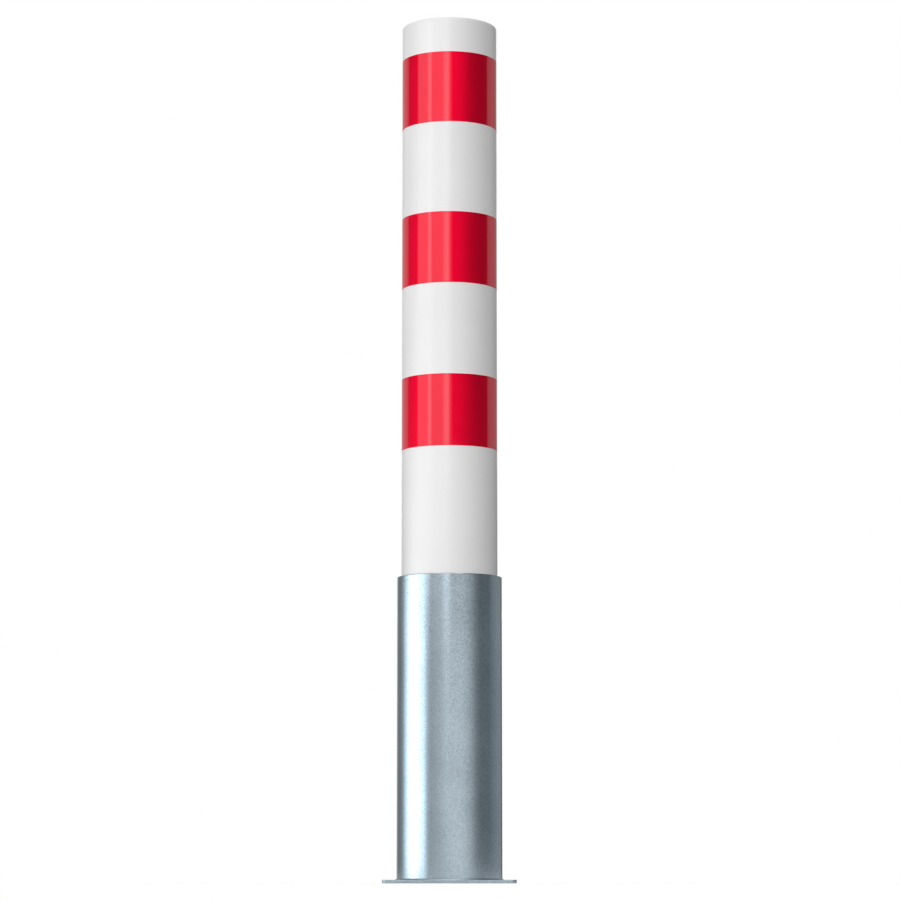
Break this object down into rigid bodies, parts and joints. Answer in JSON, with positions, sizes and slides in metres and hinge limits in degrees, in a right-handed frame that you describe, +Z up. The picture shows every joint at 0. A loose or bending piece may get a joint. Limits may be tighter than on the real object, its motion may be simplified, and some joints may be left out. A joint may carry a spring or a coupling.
{
  "type": "removable steel bollard",
  "caption": "Round white steel post with red reflective bands, standing in a galvanised ground socket on a square base plate, with a quarter-turn key lock.",
  "frame": {"origin": "centre of the base plate's underside", "axes": "+Z up along the post, +Y towards the key lock, +X towards the right locking bolt"},
  "size_m": [0.19, 0.19, 1.26],
  "materials": {
    "white_powder_coat": "semi-gloss powder coat over steel",
    "red_film": "glossy self-adhesive reflective film",
    "galvanised_steel": "hot-dip galvanised, bright with fine mottling",
    "black_polyamide": "matt turned plastic",
    "black_rubber": "matt rubber",
    "stainless_steel": "turned and brushed",
    "zinc_plated_steel": "bright zinc plate",
    "spring_steel": "blackened spring steel",
    "bronze": "turned bearing bronze"
  },
  "bodies": {
    "ground_socket": {"base_plate": "galvanised_steel", "socket_tube": "galvanised_steel", "guide_ring_upper": "black_polyamide", "guide_ring_lower": "black_polyamide", "rest_pad": "black_rubber", "anti_turn_lug": "galvanised_steel"},
    "post": {"post_tube": "white_powder_coat", "top_cap": "white_powder_coat", "band_upper": "red_film", "band_middle": "red_film", "band_lower": "red_film", "foot_plate": "galvanised_steel", "lock_housing": "stainless_steel", "cover_rivet": "stainless_steel", "bar_guide_upper": "zinc_plated_steel", "bar_guide_lower": "zinc_plated_steel", "bolt_bush_left": "bronze", "bolt_bush_right": "bronze"},
    "key_spindle": {"key_spindle": "stainless_steel", "crank_disc": "zinc_plated_steel", "circlip": "spring_steel", "friction_washer": "spring_steel"},
    "cam_bar": {"cam_bar": "zinc_plated_steel"},
    "locking_bolt_left": {"locking_bolt_left": "stainless_steel", "bolt_pin_left": "zinc_plated_steel"},
    "locking_bolt_right": {"locking_bolt_right": "stainless_steel", "bolt_pin_right": "zinc_plated_steel"},
    "key_cover": {"key_cover": "stainless_steel"}
  },
  "joints": [
    {"name": "post_lift", "type": "slide", "parent": "ground_socket", "child": "post", "axis": [0, 0, 1], "range_m": [0, 0.45]},
    {"name": "key_turn", "type": "hinge", "parent": "post", "child": "key_spindle", "pos_m": [0, 0.04, 0.515], "axis": [0, -1, 0], "range_deg": [0, 90]},
    {"name": "bar_lift", "type": "slide", "parent": "post", "child": "cam_bar", "axis": [0, 0, 1], "range_m": [0, 0.017]},
    {"name": "bolt_throw_left", "type": "slide", "parent": "post", "child": "locking_bolt_left", "axis": [-1, 0, 0], "range_m": [0, 0.0065]},
    {"name": "bolt_throw_right", "type": "slide", "parent": "post", "child": "locking_bolt_right", "axis": [1, 0, 0], "range_m": [0, 0.0065]},
    {"name": "cover_swing", "type": "hinge", "parent": "post", "child": "key_cover", "pos_m": [0, 0.07335, 0.5325], "axis": [0, 1, 0], "range_deg": [-100, 100]}
  ],
  "couplings": [
    {"joint": "bar_lift", "follows": "key_turn", "m_per_rad": 0.010804},
    {"joint": "bolt_throw_left", "follows": "key_turn", "m_per_rad": 0.004138},
    {"joint": "bolt_throw_right", "follows": "key_turn", "m_per_rad": 0.004138}
  ]
}
